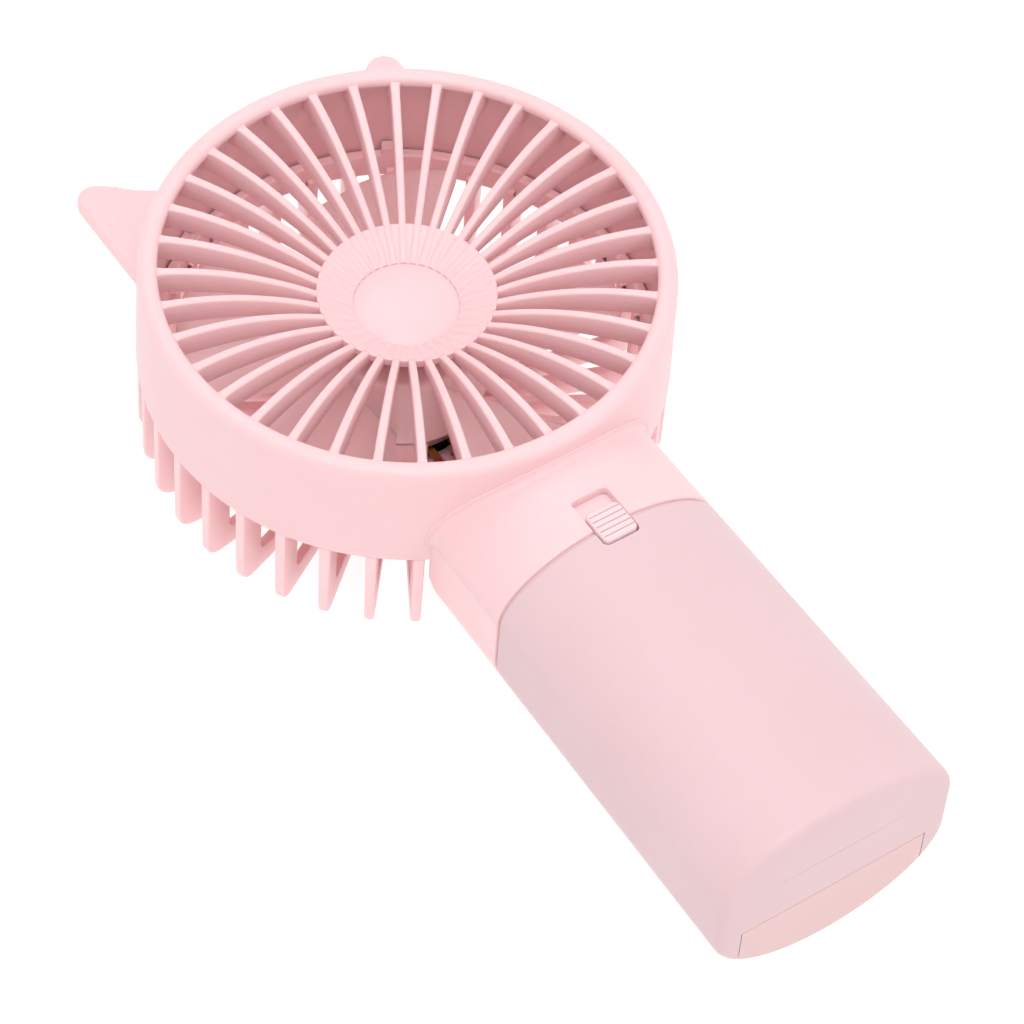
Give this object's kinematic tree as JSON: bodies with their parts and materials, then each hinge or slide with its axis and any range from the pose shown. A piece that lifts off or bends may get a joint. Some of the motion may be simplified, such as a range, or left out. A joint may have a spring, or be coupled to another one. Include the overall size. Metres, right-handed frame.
{
  "type": "handheld electric fan",
  "caption": "Battery hand fan with a round guarded head, two pointed ears, a finned rear cage, a deep oval handle, a slide switch and a sliding battery door.",
  "frame": {"origin": "on the rotor axis, in the plane of the rear cage's back face", "axes": "+Z along the rotor axis out of the front guard, +Y from the handle towards the ears, +X to the right seen from the front"},
  "size_m": [0.0908, 0.1792, 0.041],
  "materials": {
    "pink_shell": "fine satin moulded plastic, pale pink",
    "pink_cage": "fine satin moulded plastic, pale pink",
    "pink_case": "fine satin moulded plastic, pale pink",
    "pink_door": "fine satin moulded plastic, pale pink",
    "pink_cap": "smooth semi-gloss moulded plastic",
    "pink_ears": "fine satin moulded plastic, pale pink",
    "knob": "slightly greyer pink plastic, ribbed",
    "blades": "smooth greyish pink plastic",
    "black_plastic": "black engineering plastic",
    "steel": "plated steel",
    "magnet": "dark ferrite",
    "brass": "sintered brass",
    "copper": "copper",
    "spring_steel": "nickel-plated spring steel",
    "board": "green coated laminate",
    "cell_jacket": "printed metal jacket with no text",
    "lead_red": "red insulated lead",
    "lead_black": "black insulated lead"
  },
  "bodies": {
    "root": {"front_shell": "pink_shell", "hub_cap": "pink_cap", "left_ear": "pink_ears", "right_ear": "pink_ears", "rear_shell": "pink_cage", "handle_front": "pink_case", "handle_rear": "pink_case", "switch_housing": "steel", "circuit_board": "board", "battery_tray": "pink_case", "battery_left": "cell_jacket", "battery_right": "cell_jacket", "battery_front": "cell_jacket", "contact_springs": "spring_steel", "contact_plates": "spring_steel", "motor_can": "steel", "motor_end_cap": "black_plastic", "motor_magnets": "magnet", "front_bush": "brass", "rear_bush": "brass", "motor_brushes": "copper", "motor_terminals": "brass", "shell_screws": "steel", "battery_lead_red": "lead_red", "battery_lead_black": "lead_black", "motor_lead_red": "lead_red", "motor_lead_black": "lead_black"},
    "fan_rotor": {"impeller": "blades", "motor_shaft": "steel", "armature": "copper", "commutator": "copper"},
    "switch": {"switch_knob": "knob", "switch_slider": "black_plastic"},
    "door": {"battery_door": "pink_door"}
  },
  "joints": [
    {"name": "fan_spin", "type": "hinge", "parent": "root", "child": "fan_rotor", "pos_m": [0, 0, 0.018], "axis": [0, 0, 1], "continuous": true},
    {"name": "switch_slide", "type": "slide", "parent": "root", "child": "switch", "axis": [0, 1, 0], "range_m": [0, 0.0032]},
    {"name": "door_slide", "type": "slide", "parent": "root", "child": "door", "axis": [0, -1, 0], "range_m": [0, 0.005]}
  ]
}
